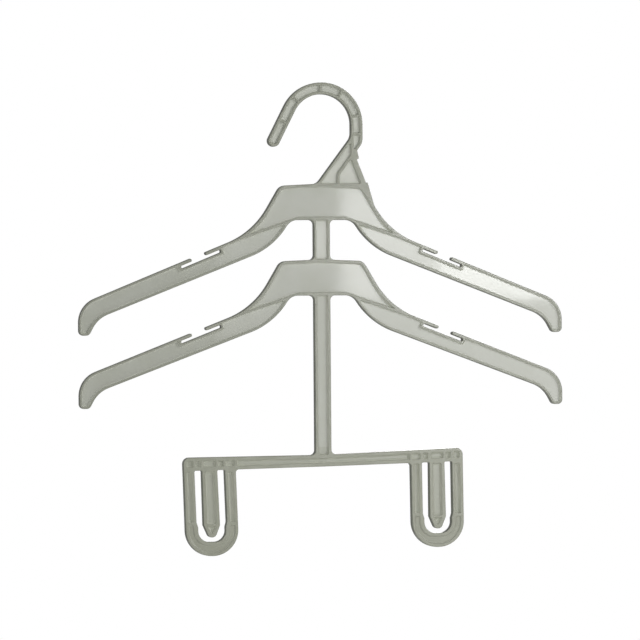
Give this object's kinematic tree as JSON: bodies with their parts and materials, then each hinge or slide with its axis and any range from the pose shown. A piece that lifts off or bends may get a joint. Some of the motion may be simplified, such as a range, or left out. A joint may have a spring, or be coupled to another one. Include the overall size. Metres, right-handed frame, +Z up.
{
  "type": "clothes hanger",
  "caption": "Tiered plastic clothes hanger with a ribbed hook, strap notches in its sloping arms and a lower bar carrying spring-tongue waistband clips.",
  "frame": {"origin": "rail seat, inside the top of the hook, in the mid-plane of the moulding", "axes": "+X along the arms to the right as seen from the front, +Y to the back, +Z up"},
  "size_m": [0.305, 0.006, 0.2924],
  "materials": {
    "hook": "moulded, softly shining",
    "neck": "moulded, softly shining",
    "size_marker_seat": "moulded, softly shining",
    "upper_yoke": "moulded, softly shining",
    "upper_left_arm": "moulded, softly shining",
    "upper_right_arm": "moulded, softly shining",
    "upper_stem": "moulded, softly shining",
    "lower_yoke": "moulded, softly shining",
    "lower_left_arm": "moulded, softly shining",
    "lower_right_arm": "moulded, softly shining",
    "lower_stem": "moulded, softly shining",
    "clip_bar": "moulded, softly shining",
    "left_clip_loop": "moulded, softly shining",
    "right_clip_loop": "moulded, softly shining",
    "left_clip_tongue": "moulded, softly shining",
    "right_clip_tongue": "moulded, softly shining"
  },
  "bodies": {
    "frame": {"hook": "hook", "neck": "neck", "size_marker_seat": "size_marker_seat", "upper_yoke": "upper_yoke", "upper_left_arm": "upper_left_arm", "upper_right_arm": "upper_right_arm", "upper_stem": "upper_stem", "lower_yoke": "lower_yoke", "lower_left_arm": "lower_left_arm", "lower_right_arm": "lower_right_arm", "lower_stem": "lower_stem", "clip_bar": "clip_bar", "left_clip_loop": "left_clip_loop", "right_clip_loop": "right_clip_loop"},
    "left_tongue": {"left_clip_tongue": "left_clip_tongue"},
    "right_tongue": {"right_clip_tongue": "right_clip_tongue"}
  },
  "joints": [
    {"name": "left_tongue_flex", "type": "hinge", "parent": "frame", "child": "left_tongue", "pos_m": [-0.07173, 0, -0.23546], "axis": [0.9998, 0, 0.0203], "range_deg": [-10, 10], "stiffness_Nm_per_rad": 3},
    {"name": "right_tongue_flex", "type": "hinge", "parent": "frame", "child": "right_tongue", "pos_m": [0.07189, 0, -0.23201], "axis": [0.9996, 0, 0.0277], "range_deg": [-10, 10], "stiffness_Nm_per_rad": 3}
  ]
}
